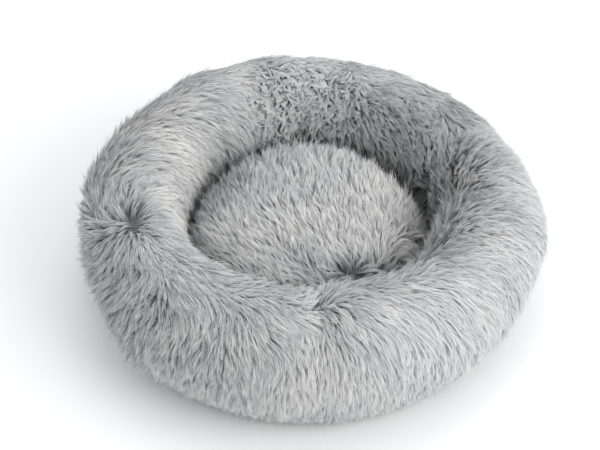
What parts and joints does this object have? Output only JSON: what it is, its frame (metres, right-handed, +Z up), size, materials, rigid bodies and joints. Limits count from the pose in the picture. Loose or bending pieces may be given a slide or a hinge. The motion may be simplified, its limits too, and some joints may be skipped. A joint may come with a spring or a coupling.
{
  "type": "pet cushion bed",
  "caption": "Round long-pile plush pet bed: a stuffed ring bolster on a padded non-slip base, with a loose domed cushion in its nest and a zip under the rear.",
  "frame": {"origin": "middle of the base, on the floor plane that the grip dots rest on", "axes": "+Z up, +X to the right-hand side, +Y to the rear, where the zip is"},
  "size_m": [0.6, 0.6, 0.184],
  "materials": {
    "plush": "long frosted pile, pale tips over slate roots",
    "fibre_fill": "white polyester fibre",
    "lining": "plain woven polyester, matt",
    "base_cloth": "coated oxford weave, slight sheen",
    "tape_cloth": "herringbone tape",
    "grip_rubber": "moulded soft dots, satin",
    "coil_nylon": "satin nylon coil",
    "zip_metal": "grey enamel, worn bright on edges",
    "label_cloth": "blank satin ribbon"
  },
  "bodies": {
    "bed": {"bolster_gore_1": "plush", "bolster_fill_1": "fibre_fill", "bolster_divider_1": "lining", "bolster_gore_2": "plush", "bolster_fill_2": "fibre_fill", "bolster_divider_2": "lining", "bolster_gore_3": "plush", "bolster_fill_3": "fibre_fill", "bolster_divider_3": "lining", "bolster_gore_4": "plush", "bolster_fill_4": "fibre_fill", "bolster_divider_4": "lining", "bolster_gore_5": "plush", "bolster_fill_5": "fibre_fill", "bolster_divider_5": "lining", "bolster_gore_6": "plush", "bolster_fill_6": "fibre_fill", "bolster_divider_6": "lining", "bolster_gore_7": "plush", "bolster_fill_7": "fibre_fill", "bolster_divider_7": "lining", "bolster_gore_8": "plush", "bolster_fill_8": "fibre_fill", "bolster_divider_8": "lining", "base_panel": "base_cloth", "base_wadding": "fibre_fill", "nest_lining": "lining", "nest_seam_tape": "tape_cloth", "base_seam_binding": "tape_cloth", "grip_dots": "grip_rubber", "care_label": "label_cloth", "zip_tape_outer": "tape_cloth", "zip_tape_inner": "tape_cloth", "zip_coil_outer": "coil_nylon", "zip_coil_inner": "coil_nylon", "zip_stops": "zip_metal"},
    "cushion": {"cushion_cover_top": "plush", "cushion_cover_base": "lining", "cushion_fill": "fibre_fill"},
    "zip_slider": {"zip_slider": "zip_metal"},
    "zip_pull": {"zip_pull": "zip_metal"}
  },
  "joints": [
    {"name": "cushion_lift", "type": "slide", "parent": "bed", "child": "cushion", "axis": [0, 0, 1], "range_m": [0, 0.2]},
    {"name": "zip_travel", "type": "hinge", "parent": "bed", "child": "zip_slider", "pos_m": [0, 0, 0], "axis": [0, 0, 1], "range_deg": [0, 55.5]},
    {"name": "pull_swing", "type": "hinge", "parent": "zip_slider", "child": "zip_pull", "pos_m": [0.11594, 0.22006, 0.00976], "axis": [-0.4258, -0.8082, -0.4067], "range_deg": [0, 180]}
  ]
}
